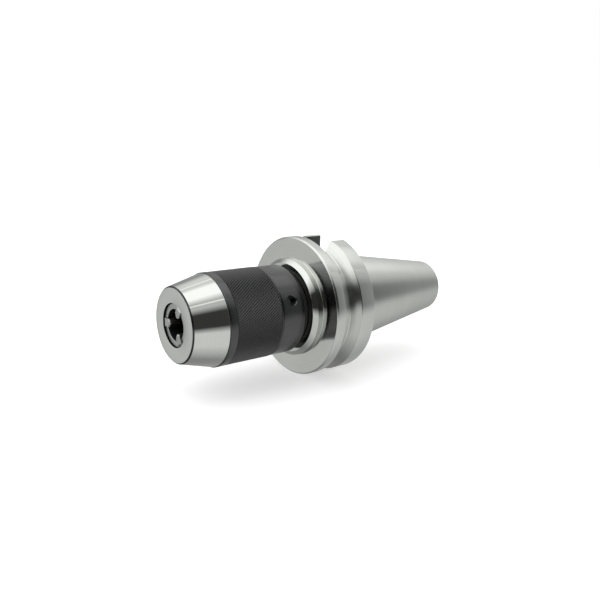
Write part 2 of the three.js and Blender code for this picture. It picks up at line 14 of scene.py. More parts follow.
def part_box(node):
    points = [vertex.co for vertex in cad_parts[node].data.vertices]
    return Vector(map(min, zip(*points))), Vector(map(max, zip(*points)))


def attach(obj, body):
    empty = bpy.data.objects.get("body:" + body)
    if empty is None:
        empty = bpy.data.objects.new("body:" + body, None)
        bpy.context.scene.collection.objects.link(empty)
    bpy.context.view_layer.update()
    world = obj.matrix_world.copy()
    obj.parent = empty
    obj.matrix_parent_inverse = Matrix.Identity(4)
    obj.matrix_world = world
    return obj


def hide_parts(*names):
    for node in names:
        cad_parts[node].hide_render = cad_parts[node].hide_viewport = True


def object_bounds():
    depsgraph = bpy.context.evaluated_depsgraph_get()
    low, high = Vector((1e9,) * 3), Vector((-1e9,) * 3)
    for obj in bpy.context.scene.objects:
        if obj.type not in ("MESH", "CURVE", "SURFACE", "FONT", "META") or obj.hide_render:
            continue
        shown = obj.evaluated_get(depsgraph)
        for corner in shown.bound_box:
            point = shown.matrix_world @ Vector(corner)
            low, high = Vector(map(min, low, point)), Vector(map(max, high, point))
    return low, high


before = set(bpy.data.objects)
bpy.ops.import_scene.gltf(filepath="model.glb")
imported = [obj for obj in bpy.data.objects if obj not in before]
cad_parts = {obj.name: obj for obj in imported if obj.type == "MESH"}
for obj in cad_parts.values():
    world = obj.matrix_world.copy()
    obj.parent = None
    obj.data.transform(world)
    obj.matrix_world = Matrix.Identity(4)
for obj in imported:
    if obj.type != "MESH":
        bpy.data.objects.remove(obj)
CAD_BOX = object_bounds()

bl_info = {
    "name": "Keyless drill chuck",
    "version": (1, 0, 0),
    "blender": (4, 5, 0),
    "location": "3D View > Sidebar > Drill chuck",
    "description": "Turned, ground and knurled pieces of a keyless drill chuck",
    "category": "Add Mesh",
}

MM = 0.001
GAP = 0.3 * MM
JAW_PHASES = (-3, 117, -123)
SPANNER_HOLE_ANGLES = (154.4, 34.4, -85.6)


# The light rig: panels round the tool axis, as (first angle, last angle, brightness), in degrees
# from +Y towards +Z. The light fades evenly from the end of one panel to the start of the next.
SIDE_PANELS = (
    (-30, 20, 0.2),     # dim room on the far side
    (40, 65, 0.55),     # sloping side of the soft box
    (75, 100, 0.9),     # soft box overhead
    (115, 130, 0.4),    # near flap of the soft box
    (145, 180, 0.03),   # dark board in front
    (195, 230, 0.5),    # white table
    (275, 315, 0.2),    # shaded end of the table
)
NOSE_PANELS = (
    (-30, 10, 0.4),     # far side
    (35, 95, 0.9),      # white board above the nose
    (135, 180, 0.02),   # dark room ahead
    (200, 245, 0.45),   # white table
    (280, 305, 0.15),   # shaded end of the table
)
STRIP_ANGLES = (55, 120)
STRIP_HALF_WIDTH = 2
STRIP_LEVEL = 0.95
TAPER_END_LEVEL = 0.4
TAPER_END_SHARE = 0.68
RIG_STRENGTH = 1.7


# ---------------- sizes and finishes

def length(name, description, millimetres):
    """A length property, kept in metres."""
    return FloatProperty(name=name, description=description, default=millimetres * MM,
                         min=0, unit="LENGTH", precision=5)


def share(name, description, default):
    """A property from 0 to 1."""
    return FloatProperty(name=name, description=description, default=default,
                         min=0, max=1, subtype="FACTOR")


def colour(name, description, default):
    """A linear colour property."""
    return FloatVectorProperty(name=name, description=description, default=default,
                               size=3, min=0, max=1, subtype="COLOR")


class ShankSizes(bpy.types.PropertyGroup):
    """Sizes of the taper shank."""

    gauge_radius: length("Gauge radius", "Taper radius at the gauge plane", 34.925)
    end_chamfer: length("End chamfer", "Chamfer on the small end of the taper", 1.5)
    setback: length("Flange setback", "Gauge plane to the back face of the flange", 3)
    flange_length: length("Flange length", "Thickness of the flange", 35)
    back_land: length("Back land", "Length of the land behind the groove", 12.7)
    groove_width: length("Groove width", "Gripper groove at the outer diameter", 15)
    groove_floor: length("Groove floor", "Radius of the gripper groove's floor", 42.5)
    slot_width: length("Slot width", "Width of a drive slot", 25.7)
    slot_floor: length("Slot floor", "Axis to the floor of a drive slot", 35.4)
    slot_length: length("Slot length", "Length of a drive slot from the back face", 25)
    slot_chamfer: length("Slot chamfer", "Chamfer along the mouth of a drive slot", 1.2)
    boss_radius: length("Boss radius", "Radius of the boss ahead of the flange", 34.9)
    boss_length: length("Boss length", "Length of that boss", 6.8)
    boss_bevel: length("Boss bevel", "Radial size of the bevel on the boss", 3)
    boss_slope: length("Boss slope", "Axial size of that bevel", 2.6)
    flange_chamfer: length("Flange chamfer", "Chamfer on the flange's end faces", 1)
    undercut: length("Undercut", "Depth of the relief between taper and flange", 0.6)
    neck_radius: length("Neck radius", "Radius of the neck ahead of the boss", 23.7)
    core_bore: length("Core bore", "Radius of the bore that takes the core", 16.2)
    core_depth: length("Core depth", "Depth of that bore", 26.4)
    screw_bore: length("Screw bore", "Radius of the clearance for the screw", 9.7)
    screw_space: length("Screw space", "Room behind the screw for its travel", 15.65)
    pilot_radius: length("Pilot radius", "Radius of the retention knob's pilot", 12.5)
    pilot_depth: length("Pilot depth", "Depth of the retention knob's pilot", 6.5)
    thread_radius: length("Thread radius", "Radius of the retention knob's hole", 10.9)
    thread_depth: length("Thread depth", "Depth of the retention knob's hole", 47)
    thread_point: length("Thread point", "Depth of the cone at the bottom of that hole", 4)
    fillet: length("Edge radius", "Radius on turned edges", 0.35)
    soft_edge: length("Soft edge radius", "Radius in the groove and the drive slots", 0.8)
    groove_angle: FloatProperty(name="Groove angle", description="Each flank of the groove",
                                default=radians(30), subtype="ANGLE")
    segments: IntProperty(name="Segments", description="Faces round the shank",
                          default=288, min=24, max=512)


class SleeveSizes(bpy.types.PropertyGroup):
    """Sizes of the grip sleeve, the rear collar and the dust seal."""

    wall: length("Wall", "Sleeve wall over the hood's spigot", 3.5)
    shoulder_radius: length("Shoulder radius", "Bore between hood and collar", 25)
    spigot_wall: length("Spigot wall", "Wall of the collar's spigot", 2.4)
    wiper_depth: length("Wiper depth", "Depth of the wiper's groove in the collar", 1.8)
    bevel: length("Bevel", "Bevel on the outer edges of sleeve and collar", 0.6)
    band: length("Band", "Smooth band at the front of the sleeve", 5.6)
    rim: length("Rear rim", "Smooth rim behind the knurl", 1.2)
    knurl_depth: length("Knurl depth", "Depth of the knurl's grooves", 0.65)
    cross_depth: share("Cross depth", "Depth of the second helix's grooves to the first's", 0.62)
    knurl_rows: IntProperty(name="Knurl rows", description="Diamonds along the sleeve",
                            default=13, min=2, max=60)
    knurl_count: IntProperty(name="Knurl count", description="Diamonds round the sleeve",
                             default=110, min=12, max=400)
    collar_bore: length("Collar bore", "Bore of the rear collar", 25.5)
    collar_shoulder: length("Shoulder", "Thickness behind the bearing", 2.8)
    collar_reach: length("Collar length", "Length of the collar that shows", 18)
    hole_radius: length("Hole radius", "Radius of a spanner hole", 3.5)
    hole_depth: length("Hole depth", "Depth of a spanner hole", 3.8)
    hole_setback: length("Hole setback", "Collar's rear face to a hole's centre", 9.8)
    hole_bevel: length("Hole bevel", "Bevel round the mouth of a hole", 0.5)
    fillet: length("Edge radius", "Radius on turned edges", 0.35)
    segments: IntProperty(name="Segments", description="Faces round the collar",
                          default=256, min=24, max=512)


class NoseSizes(bpy.types.PropertyGroup):
    """Sizes of the nose hood, the jaw guide and the jaws."""

    face_radius: length("Face radius", "Outer radius of the nose face", 24.2)
    bevel: length("Bevel", "Width of the black nose bevel", 1.0)
    mouth_radius: length("Mouth radius", "Radius of the nose opening", 14.3)
    spigot_length: length("Spigot length", "Part of the hood inside the sleeve", 13)
    guide_bore: length("Guide bore", "Bore of the jaw guide", 10.4)
    guide_play: length("Guide play", "Play between guide and hood taper", 0.6)
    head_play: length("Head play", "Play round the spindle's head", 0.4)
    head_travel: length("Head travel", "Room ahead of the spindle for its travel", 18.98)
    slot_rim: length("Slot rim", "Ring left outside the jaw slots", 3.2)
    jaw_width: length("Jaw width", "Thickness of a jaw", 5.4)
    jaw_reach: length("Jaw reach", "Axis to a jaw's grip edge at rest", 5.8)
    jaw_grip: length("Grip length", "Length of a jaw's grip edge", 29)
    jaw_chamfer: length("Jaw chamfer", "Radius on a jaw's front edge", 1)
    back_chamfer: length("Back chamfer", "Radial size of the chamfer on a jaw's back", 1.3)
    tail_inner: length("Tail inner reach", "Axis to the inner side of a jaw's tail", 9)
    tail_outer: length("Tail outer reach", "Axis to the outer side of a jaw's tail", 20)
    tee_width: length("Tee width", "Width of a jaw's tee head", 8.6)
    tee_reach: length("Tee reach", "Axis to the outer side of a tee head", 18)
    tee_length: length("Tee length", "Thickness of a tee head along the axis", 3)
    tip_flat: length("Tip flat", "Width of a jaw's grip edge", 1.0)
    tip_ease: length("Tip ease", "Rounding of a jaw's long edges", 0.35)
    tip_lean: FloatProperty(name="Tip lean", description="Each flank of the grip edge",
                            default=radians(50), subtype="ANGLE")
    segments: IntProperty(name="Segments", description="Faces round the hood",
                          default=256, min=24, max=512)
    jaw_angle: FloatProperty(name="Jaw angle", description="Jaw travel to the axis",
                             default=radians(16), subtype="ANGLE")


class Finishes(bpy.types.PropertyGroup):
    """Colours and roughness of the finishes."""

    steel: colour("Ground steel", "Colour of the shank", (0.60, 0.615, 0.585))
    bright: colour("Bright steel", "Colour of the nose hood", (0.62, 0.635, 0.605))
    # Painted shade: this dark colour stands in for the shade inside the drive slots.
    slot: colour("Slot steel", "Colour of the milled drive slots", (0.11, 0.112, 0.11))
    jaw: colour("Jaw steel", "Colour of the hardened jaws", (0.48, 0.49, 0.47))
    inner: colour("Inner steel", "Colour of hidden steel pieces", (0.34, 0.34, 0.335))
    oxide: colour("Black oxide", "Colour of the blackened pieces", (0.005, 0.0062, 0.0058))
    worn: colour("Worn oxide", "Colour of the knurl's rubbed crests", (0.04, 0.042, 0.04))
    rubber: colour("Rubber", "Colour of the seals", (0.012, 0.012, 0.012))
    brass: colour("Brass", "Colour of the ball cage", (0.62, 0.45, 0.20))
    taper_roughness: share("Taper roughness", "Roughness of the ground taper", 0.35)
    flange_roughness: share("Flange roughness", "Roughness of the flange", 0.21)
    turned_roughness: share("Turned roughness", "Roughness of turned faces", 0.11)
    hood_roughness: share("Hood roughness", "Roughness of the ground cone", 0.085)
    oxide_roughness: share("Oxide roughness", "Roughness of the black oxide", 0.2)


class StageSettings(bpy.types.PropertyGroup):
    """Floor and camera."""

    floor_size: length("Floor size", "Side of the floor", 9000)
    lens: FloatProperty(name="Lens", description="Focal length in millimetres", default=38.5)
    eye: FloatVectorProperty(name="Eye", description="Where the camera stands", size=3,
                             default=(-316 * MM, -351 * MM, 120.5 * MM), unit="LENGTH")
    azimuth: FloatProperty(name="Azimuth", description="Backward direction of the camera round Z",
                           default=radians(-129.1), subtype="ANGLE")
    elevation: FloatProperty(name="Elevation", description="Backward direction above the floor",
                             default=radians(14.5), subtype="ANGLE")
    roll: FloatProperty(name="Roll", description="Turn of the camera about its own line of sight",
                        default=radians(2.4), subtype="ANGLE")
    floor_drop: length("Floor drop", "Gap between the flange and the floor", 0.6)
    floor_colour: colour("Floor", "Colour of the floor", (0.88, 0.88, 0.88))
    floor_glow: share("Floor glow", "The floor's own light", 0.5)


def settings():
    """The scene's own settings."""
    return bpy.context.scene.drill_chuck


class ChuckSettings(bpy.types.PropertyGroup):
    """All the settings of the chuck."""

    shank: PointerProperty(type=ShankSizes)
    sleeve: PointerProperty(type=SleeveSizes)
    nose: PointerProperty(type=NoseSizes)
    finish: PointerProperty(type=Finishes)
    stage: PointerProperty(type=StageSettings)


# ---------------- surfaces

def rounded(outline, steps=5):
    """An outline of (x, radius, fillet) corners with each corner turned into an arc.

    An arc of radius f touches both edges at f / tan(half angle) from the corner. Its centre lies on
    the bisector at f / sin(half angle), and its points are spread evenly over the turn between them.
    """
    points = np.array([corner[:2] for corner in outline], float)
    radii = [corner[2] if len(corner) > 2 else 0 for corner in outline]
    result = []
    for i, radius in enumerate(radii):
        corner = points[i]
        before = points[i - 1] - corner
        after = points[(i + 1) % len(points)] - corner
        if not radius:
            result.append(corner[None])
            continue
        before_length, after_length = np.linalg.norm(before), np.linalg.norm(after)
        before, after = before / before_length, after / after_length
        half = np.arccos(np.clip(before @ after, -1, 1)) / 2
        reach = min(radius / tan(half), 0.45 * before_length, 0.45 * after_length)
        radius = reach * tan(half)
        bisector = (before + after) / np.linalg.norm(before + after)
        centre = corner + bisector * radius / sin(half)
        start, end = corner + before * reach - centre, corner + after * reach - centre
        turn = np.arccos(np.clip(start @ end / radius ** 2, -1, 1))
        t = np.linspace(0, 1, steps + 1)[:, None]
        arc = (np.sin((1 - t) * turn) * start + np.sin(t * turn) * end) / sin(turn)
        result.append(centre + arc)
    return np.concatenate(result)


def grid_mesh(name, points, wrap_rows=True, wrap_columns=True, flip_diagonals=None):
    """A mesh from a rows x columns grid of points, with its seam, poles and normals put right."""
    rows, columns = points.shape[:2]
    index = np.arange(rows * columns).reshape(rows, columns)
    down = np.roll(index, -1, axis=0)
    right = np.roll(index, -1, axis=1)
    corner = np.roll(down, -1, axis=1)
    last_row = rows if wrap_rows else rows - 1
    last_column = columns if wrap_columns else columns - 1
    quads = np.stack([index, down, corner, right], axis=-1)[:last_row, :last_column]
    mesh = bpy.data.meshes.new(name)
    if flip_diagonals is None:
        faces = quads.reshape(-1, 4)
    else:
        a, b, c, d = np.moveaxis(quads, -1, 0)
        flip = flip_diagonals[:last_row, :last_column, None]
        first = np.where(flip, np.stack([a, b, d], -1), np.stack([a, b, c], -1))
        second = np.where(flip, np.stack([b, c, d], -1), np.stack([a, c, d], -1))
        faces = np.concatenate([first.reshape(-1, 3), second.reshape(-1, 3)])
    mesh.from_pydata(points.reshape(-1, 3), [], faces.tolist())
    merge(mesh)
    return mesh


def merge(mesh, distance=1e-7):
    """Welds double points and turns every face outwards."""
    shape = bmesh.new()
    shape.from_mesh(mesh)
    bmesh.ops.remove_doubles(shape, verts=shape.verts, dist=distance)
    bmesh.ops.dissolve_degenerate(shape, edges=shape.edges, dist=distance)
    bmesh.ops.recalc_face_normals(shape, faces=shape.faces)
    if shape.calc_volume(signed=True) < 0:
        bmesh.ops.reverse_faces(shape, faces=shape.faces)
    shape.to_mesh(mesh)
    shape.free()


def revolve(name, profile, segments, closed=True):
    """A surface of revolution: each (x, r) of the profile goes to (x, r cos a, r sin a)."""
    angle = np.linspace(0, 2 * pi, segments, endpoint=False)
    x, r = np.asarray(profile, float).T
    points = np.empty((len(x), segments, 3))
    points[..., 0] = x[:, None]
    points[..., 1] = r[:, None] * np.cos(angle)
    points[..., 2] = r[:, None] * np.sin(angle)
    return grid_mesh(name, points, wrap_rows=closed)


def loft(name, sections):
    """A closed solid through equal outlines, one a row, with a flat face at each end."""
    count, around = sections.shape[:2]
    index = np.arange(count * around).reshape(count, around)
    following = np.roll(index, -1, axis=1)
    sides = np.stack([index[:-1], index[1:], following[1:], following[:-1]], -1).reshape(-1, 4)
    mesh = bpy.data.meshes.new(name)
    faces = sides.tolist() + [index[0].tolist(), index[-1][::-1].tolist()]
    mesh.from_pydata(sections.reshape(-1, 3), [], faces)
    merge(mesh)
    return mesh


def triangle_wave(t):
    """Rises from 0 to 1 and falls back over every 2 of t, with 0 at the even numbers."""
    return np.abs((t + 1) % 2 - 1)


def prism(outline, start, end):
    """Two copies of a (y, z) outline, one at each end of a straight prism along X."""
    sections = np.empty((2, len(outline), 3))
    sections[0, :, 0] = start
    sections[1, :, 0] = end
    sections[..., 1:] = outline
    return sections


def turn_about_x(points, degrees):
    """Points turned about X so that +Z goes to the given angle, counted from +Y towards +Z."""
    a = radians(degrees - 90)
    turned = np.array(points, float)
    turned[..., 1] = points[..., 1] * cos(a) - points[..., 2] * sin(a)
    turned[..., 2] = points[..., 1] * sin(a) + points[..., 2] * cos(a)
    return turned


def carve(mesh, cutters, operation="DIFFERENCE"):
    """The mesh with each cutter taken from it, or joined to it."""
    collection = bpy.context.scene.collection
    body = bpy.data.objects.new("body", mesh)
    collection.objects.link(body)
    tools = []
    for cutter in cutters:
        tool = bpy.data.objects.new("cutter", cutter)
        collection.objects.link(tool)
        tools.append(tool)
        modifier = body.modifiers.new("cut", "BOOLEAN")
        modifier.operation = operation
        modifier.solver = "EXACT"
        modifier.object = tool
    bpy.context.view_layer.update()
    graph = bpy.context.evaluated_depsgraph_get()
    result = bpy.data.meshes.new_from_object(body.evaluated_get(graph))
    result.name = mesh.name
    for item in [body, *tools]:
        bpy.data.objects.remove(item)
    return result


def add_piece(name, mesh, body, slot, material, *nodes, sharp=32):
    """Puts a finished mesh in the scene, on its body, in place of its CAD nodes."""
    mesh.polygons.foreach_set("use_smooth", np.ones(len(mesh.polygons), bool))
    mesh.set_sharp_from_angle(angle=radians(sharp))
    mesh.materials.clear()
    mesh.materials.append(material)
    piece = bpy.data.objects.new(name, mesh)
    bpy.context.scene.collection.objects.link(piece)
    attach(piece, body)
    if nodes:
        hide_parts(*nodes)
    return piece


# ---------------- materials

class Nodes:
    """A node tree with short ways to add and join its nodes."""

    def __init__(self, owner):
        owner.use_nodes = True
        self.tree = owner.node_tree

    def node(self, kind, inputs=None, **values):
        made = self.tree.nodes.new(kind)
        for key, value in values.items():
            setattr(made, key, value)
        for key, value in (inputs or {}).items():
            self.feed(made.inputs[key], value)
        return made

    def feed(self, socket, value):
        if isinstance(value, bpy.types.NodeSocket):
            self.tree.links.new(value, socket)
        else:
            socket.default_value = value

    def math(self, operation, *values):
        made = self.node("ShaderNodeMath", operation=operation)
        for socket, value in zip(made.inputs, values):
            self.feed(socket, value)
        return made.outputs[0]

    def span(self, value, low, high, to_low, to_high):
        made = self.node("ShaderNodeMapRange", {"Value": value, "From Min": low, "From Max": high,
                                                "To Min": to_low, "To Max": to_high})
        return made.outputs["Result"]

    def mix(self, factor, first, second):
        made = self.node("ShaderNodeMix", data_type="RGBA")
        self.feed(made.inputs["Factor"], factor)
        self.feed(made.inputs["A"], first)
        self.feed(made.inputs["B"], second)
        return made.outputs["Result"]


class Look(Nodes):
    """A material on the Principled shader, worked out from Object coordinates."""

    def __init__(self, name):
        self.material = bpy.data.materials.new(name)
        super().__init__(self.material)
        self.shader = self.tree.nodes["Principled BSDF"]

    def surface(self, **values):
        for key, value in values.items():
            self.feed(self.shader.inputs[key.replace("_", " ")], value)

    def base(self):
        """What feeds the base colour so far."""
        return self.shader.inputs["Base Color"].links[0].from_socket

    def place(self):
        """Object coordinates as x, the distance from the axis, and the whole vector."""
        point = self.node("ShaderNodeTexCoord").outputs["Object"]
        parts = self.node("ShaderNodeSeparateXYZ", {0: point})
        y, z = parts.outputs[1], parts.outputs[2]
        square = self.math("ADD", self.math("MULTIPLY", y, y), self.math("MULTIPLY", z, z))
        return parts.outputs[0], self.math("SQRT", square), point

    def noise(self, vector, scale, detail=3.0, roughness=0.5):
        made = self.node("ShaderNodeTexNoise", {"Vector": vector, "Scale": scale,
                                                "Detail": detail, "Roughness": roughness})
        return made.outputs["Fac"]

    def blotches(self, cloud, rgb, dark, light, low=0.3, high=0.7):
        """A colour that drifts between a darker and a lighter shade as the cloud does."""
        return self.mix(self.span(cloud, low, high, 0.0, 1.0), solid_colour(rgb, dark),
                        solid_colour(rgb, light))

    def rings(self, fineness):
        """Noise that changes along the profile only, as a turning tool leaves it."""
        x, radius, _ = self.place()
        along = self.node("ShaderNodeCombineXYZ", {0: x, 1: radius, 2: 0.0}).outputs[0]
        return self.noise(along, fineness, 4.0, 0.65)

    def bump(self, height, strength, distance):
        made = self.node("ShaderNodeBump", {"Strength": strength, "Distance": distance,
                                            "Height": height})
        return made.outputs["Normal"]

    def axial_tangent(self, anisotropy):
        """Stretches highlights along the axis, across the rings of the finish."""
        tangent = self.node("ShaderNodeTangent", direction_type="RADIAL", axis="X")
        self.surface(Anisotropic=anisotropy, Anisotropic_Rotation=0.25,
                     Tangent=tangent.outputs[0])


def solid_colour(rgb, factor=1.0):
    """A colour as four numbers, made lighter or darker by a factor."""
    return (*[min(1.0, value * factor) for value in rgb], 1.0)


def ground_steel(name, rgb, roughness, anisotropy=0.6, fineness=900.0, relief=0.06):
    """Steel with fine rings round the axis, a little uneven in tone and gloss."""
    look = Look(name)
    rings = look.rings(fineness)
    _, _, point = look.place()
    cloud = look.noise(point, 45.0)
    tone = look.math("ADD", look.math("MULTIPLY", rings, 0.6), look.math("MULTIPLY", cloud, 0.4))
    look.surface(Base_Color=look.blotches(tone, rgb, 0.93, 1.05), Metallic=1.0)
    look.surface(Roughness=look.span(cloud, 0.3, 0.7, roughness * 0.92, roughness * 1.1))
    look.surface(Normal=look.bump(rings, relief, 0.05 * MM))
    look.axial_tangent(anisotropy)
    return look


def shank_steel():
    """The shank's steel: bright turned front, satin flange, softer ground taper and painted shade in
    the slots.
    """
    finish, sizes = settings().finish, settings().shank
    look = ground_steel("shank_ground_steel", finish.steel, finish.flange_roughness, 0.7)
    x, _, point = look.place()
    flange_front = -(sizes.setback + sizes.flange_length)
    front = look.math("LESS_THAN", x, flange_front + 0.05 * MM)
    taper = look.math("GREATER_THAN", x, -sizes.setback + 0.05 * MM)
    cloud = look.noise(point, 30.0)
    roughness = look.math("ADD", finish.flange_roughness, look.math(
        "MULTIPLY", taper, finish.taper_roughness - finish.flange_roughness))
    roughness = look.math("ADD", roughness, look.math(
        "MULTIPLY", front, finish.turned_roughness - finish.flange_roughness))
    roughness = look.math("ADD", roughness, look.span(cloud, 0.3, 0.7, -0.015, 0.02))
    # Painted shade: the drive slots take the dark slot colour; their added roughness is their milled
    # finish.
    milled_and_shaded = slot_shade_and_mill_mask(look, sizes)
    look.surface(Base_Color=look.mix(milled_and_shaded, look.base(), solid_colour(finish.slot)))
    look.surface(Roughness=look.math("ADD", roughness, look.math("MULTIPLY", milled_and_shaded, 0.2)))
    return look.material


def slot_shade_and_mill_mask(look, sizes):
    """One on the floors, sides and ends of the two drive slots, where shade is painted, and nought
    elsewhere.
    """
    x, _, point = look.place()
    parts = look.node("ShaderNodeSeparateXYZ", {0: point})
    skin = 0.03 * MM
    end = -(sizes.setback + sizes.slot_length) - skin
    along = look.math("GREATER_THAN", x, end)
    across = look.math("LESS_THAN", look.math("ABSOLUTE", parts.outputs[1]),
                       sizes.slot_width / 2 + skin)
    high = look.math("GREATER_THAN", look.math("ABSOLUTE", parts.outputs[2]),
                     sizes.slot_floor - skin)
    ahead = look.math("LESS_THAN", x, -sizes.setback - skin)
    return look.math("MULTIPLY", look.math("MULTIPLY", along, across),
                     look.math("MULTIPLY", high, ahead))


def hood_steel():
    """Finely ground cone and turned nose face, with the bevel left black and the inside painted
    black as shade.
    """
    finish, sizes = settings().finish, settings().nose
    look = ground_steel("hood_bright_steel", finish.bright, finish.hood_roughness, 0.8, 1400.0,
                        0.03)
    x, radius, _ = look.place()
    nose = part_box("nose_hood")[0].x
    near = look.math("LESS_THAN", x, nose + sizes.bevel * 0.92)
    far_out = look.math("GREATER_THAN", radius, sizes.face_radius + 0.04 * MM)
    # Painted shade: the inner taper is coloured black for the shade in the gap round the jaw guide.
    depth = look.math("SUBTRACT", x, nose)
    bore = look.math("ADD", look.math("MULTIPLY", depth, tan(sizes.jaw_angle)),
                     sizes.mouth_radius + 0.1 * MM)
    inside = look.math("MULTIPLY", look.math("LESS_THAN", radius, bore),
                       look.math("GREATER_THAN", depth, 0.1 * MM))
    # This mask holds the oxide bevel and the painted shade inside.
    bevel = look.math("ADD", look.math("MULTIPLY", near, far_out), inside)
    black = look.mix(bevel, look.base(), solid_colour(finish.oxide))
    look.surface(Base_Color=black, Metallic=look.math("SUBTRACT", 1.0, bevel))
    return look.material


def black_oxide(name, roughness, relief=0.05, fineness=1100.0):
    """Blackened steel: a dark satin skin over turned rings, worn a little lighter in places."""
    finish = settings().finish
    look = Look(name)
    rings = look.rings(fineness)
    _, _, point = look.place()
    cloud = look.noise(point, 60.0, 5.0)
    tone = look.math("ADD", look.math("MULTIPLY", rings, 0.5), look.math("MULTIPLY", cloud, 0.5))
    look.surface(Base_Color=look.blotches(tone, finish.oxide, 0.8, 1.5, 0.35, 0.65),
                 Metallic=0.0, IOR=1.8)
    look.surface(Roughness=look.span(cloud, 0.3, 0.7, roughness * 0.9, roughness * 1.15))
    look.surface(Normal=look.bump(rings, relief, 0.05 * MM))
    return look


def knurl_finish(sizes):
    """Black oxide rubbed lighter on the crests of the knurl, and dull in its grooves."""
    finish = settings().finish
    look = black_oxide("sleeve_black_oxide", finish.oxide_roughness)
    x, radius, _ = look.place()
    low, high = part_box("knurled_sleeve")
    height = look.span(radius, high.y - 0.6 * sizes.knurl_depth, high.y - 0.05 * sizes.knurl_depth,
                       0.0, 1.0)
    ahead = look.math("GREATER_THAN", x, low.x + sizes.band + 0.2 * MM)
    behind = look.math("LESS_THAN", x, high.x - sizes.rim + 0.1 * MM)
    knurled = look.math("MULTIPLY", ahead, behind)
    worn = look.mix(height, solid_colour(finish.oxide, 0.3), solid_colour(finish.worn))
    look.surface(Base_Color=look.mix(knurled, look.base(), worn))
    groove = look.span(height, 0.0, 1.0, 0.5, 0.24)
    gap = look.math("SUBTRACT", groove, finish.oxide_roughness)
    look.surface(Roughness=look.math("ADD", finish.oxide_roughness,
                                     look.math("MULTIPLY", gap, knurled)))
    return look.material


def guide_steel():
    """Blackened jaw guide, whose black also stands for painted shade in its bore and slots, with its
    front face ground bright.
    """
    finish = settings().finish
    # The black here is partly oxide and partly painted shade: it darkens the bore and slots that lie
    # in shade inside the nose.
    look = black_oxide("guide_black_shade_and_ground", 0.35)
    x, _, _ = look.place()
    face = look.math("LESS_THAN", x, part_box("jaw_guide")[0].x + 0.06 * MM)
    bright = solid_colour(finish.steel, 0.8)
    look.surface(Base_Color=look.mix(face, look.base(), bright), Metallic=face)
    return look.material


def plain_metal(name, rgb, roughness):
    """A metal with faint blotches and fine scratches in no one direction."""
    look = Look(name)
    _, _, point = look.place()
    cloud = look.noise(point, 80.0, 4.0)
    fine = look.noise(point, 1800.0, 3.0)
    look.surface(Base_Color=look.blotches(cloud, rgb, 0.9, 1.08), Metallic=1.0)
    look.surface(Roughness=look.span(cloud, 0.3, 0.7, roughness * 0.85, roughness * 1.15))
    look.surface(Normal=look.bump(fine, 0.04, 0.02 * MM))
    return look.material


def rubber():
    """Matt black nitrile rubber with a fine moulded grain."""
    look = Look("seal_rubber")
    _, _, point = look.place()
    grain = look.noise(point, 2500.0, 2.0)
    cloud = look.noise(point, 90.0, 4.0)
    look.surface(Base_Color=look.blotches(cloud, settings().finish.rubber, 0.8, 1.5),
                 Roughness=look.span(grain, 0.3, 0.7, 0.55, 0.75))
    look.surface(Normal=look.bump(grain, 0.15, 0.03 * MM))
    return look.material


# ---------------- pieces

class ChuckOperator:
    """What every operator here shares."""

    bl_options = {"REGISTER", "UNDO"}


class DRILLCHUCK_OT_shank(ChuckOperator, bpy.types.Operator):
    """Build the taper shank: cone, gripper flange with two drive slots, boss and bores."""

    bl_idname = "drill_chuck.shank"
    bl_label = "Taper shank"

    def execute(self, context):
        s = settings().shank
        low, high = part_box("taper_shank")
        body = revolve("taper_shank_fine", self.profile(s, low.x, high.x, high.y), s.segments,
                       closed=False)
        body = carve(body, [self.slot_cutter(s, high.y, side) for side in (1, -1)])
        add_piece("taper_shank_fine", body, "root", "ground_steel", shank_steel(), "taper_shank")
        return {"FINISHED"}

    def profile(self, s, neck_front, end, flange_radius):
        """The shank's outline, from the floor of its front bore to the floor of its rear hole."""
        back, front = -s.setback, -(s.setback + s.flange_length)
        boss = front - s.boss_length
        groove_back = back - s.back_land
        groove_front = groove_back - s.groove_width
        flank = (flange_radius - s.groove_floor) * tan(s.groove_angle)
        small = s.gauge_radius - end * 7 / 48
        undercut = s.gauge_radius - s.undercut
        core_end = neck_front + s.core_depth
        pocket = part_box("drive_spindle")[1].x + s.screw_space
        f, soft = s.fillet, s.soft_edge
        chamfer = s.flange_chamfer
        inner = [(pocket, 0), (pocket, s.screw_bore, 0), (core_end, s.screw_bore),
                 (core_end, s.core_bore), (neck_front, s.core_bore, f)]
        outer = [(neck_front, s.neck_radius, f), (boss, s.neck_radius, f),
                 (boss, s.boss_radius - s.boss_bevel, f), (boss + s.boss_slope, s.boss_radius, f),
                 (front, s.boss_radius, f), (front, flange_radius - chamfer, f),
                 (front + chamfer, flange_radius, f), (groove_front, flange_radius, soft),
                 (groove_front + flank, s.groove_floor, soft),
                 (groove_back - flank, s.groove_floor, soft), (groove_back, flange_radius, soft),
                 (back - chamfer, flange_radius, f), (back, flange_radius - chamfer, f),
                 (back, undercut, f), (back / 2, undercut, f), (0, s.gauge_radius)]
        rear = [(end - s.end_chamfer, small + s.end_chamfer * 7 / 48, soft),
                (end, small - s.end_chamfer, f), (end, s.pilot_radius, f),
                (end - s.pilot_depth, s.pilot_radius),
                (end - s.pilot_depth, s.thread_radius, f),
                (end - s.thread_depth, s.thread_radius),
                (end - s.thread_depth - s.thread_point, 0)]
        return rounded(inner + outer + rear)

    def slot_cutter(self, s, flange_radius, side):
        """A drive slot: a prism along X with rounded floor corners and a chamfered mouth."""
        half, top = s.slot_width / 2, flange_radius + 2 * MM
        chord = sqrt(flange_radius ** 2 - half ** 2)
        flare = s.slot_chamfer + top - chord
        soft = s.soft_edge
        outline = rounded([(-half, s.slot_floor, soft), (half, s.slot_floor, soft),
                           (half, chord - s.slot_chamfer), (half + flare, top),
                           (-half - flare, top), (-half, chord - s.slot_chamfer)], 4)
        back = -s.setback
        return loft("slot_cutter", prism(outline * side, back - s.slot_length, back + 1.5 * MM))


